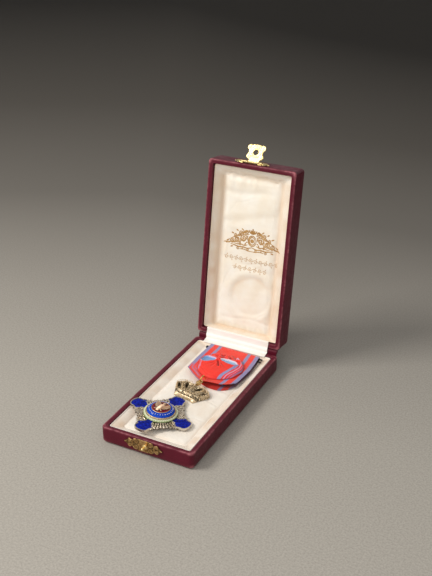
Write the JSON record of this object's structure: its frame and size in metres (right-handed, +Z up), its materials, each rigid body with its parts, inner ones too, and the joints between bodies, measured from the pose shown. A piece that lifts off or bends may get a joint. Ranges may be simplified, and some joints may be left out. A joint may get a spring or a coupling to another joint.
{
  "type": "order insignia in a hinged presentation case",
  "caption": "Enamelled cross-shaped order badge with crown and folded red ribbon, lying in an open leather-covered hinged presentation case lined with cream satin",
  "frame": {"origin": "centre of the case base underside", "axes": "+X to the right across the case seen from its clasp side, +Y from the clasp edge to the hinge, +Z up"},
  "size_m": [0.058, 0.15, 0.137],
  "materials": {
    "leather": "satin",
    "satin": "satin",
    "clasp_brass": "polished",
    "silver_gilt": "polished",
    "gilt": "polished",
    "blue_enamel": "gloss",
    "ring_enamel": "gloss",
    "green_enamel": "gloss",
    "red_enamel": "gloss",
    "ribbon_cloth": "satin",
    "black_steel": "blackened"
  },
  "bodies": {
    "root": {"case_base": "leather", "base_lining": "satin", "hinge_base": "leather", "hinge_cloth_base": "satin", "catch_plate": "clasp_brass", "star_body": "silver_gilt", "enamel_top": "blue_enamel", "enamel_right": "blue_enamel", "enamel_bottom": "blue_enamel", "enamel_left": "blue_enamel", "wreath_ring": "green_enamel", "medallion_mount": "silver_gilt", "blue_ring": "ring_enamel", "red_disc": "red_enamel", "eagle": "gilt", "crown": "gilt", "suspension_ring": "gilt", "ribbon": "ribbon_cloth", "rosette": "ribbon_cloth", "pin_bar": "black_steel"},
    "lid": {"case_lid": "leather", "lid_lining": "satin", "hinge_lid": "leather", "hinge_cloth_lid": "satin", "lid_plate": "clasp_brass"},
    "hasp": {"hasp": "clasp_brass"}
  },
  "joints": [
    {"name": "lid_hinge", "type": "hinge", "parent": "root", "child": "lid", "pos_m": [0, 0.05876, 0.01168], "axis": [1, 0, 0], "range_deg": [0, 98.5]},
    {"name": "hasp_hinge", "type": "hinge", "parent": "lid", "child": "hasp", "pos_m": [0.0002, 0.07658, 0.12738], "axis": [1, 0, 0], "range_deg": [-40, 115]}
  ]
}
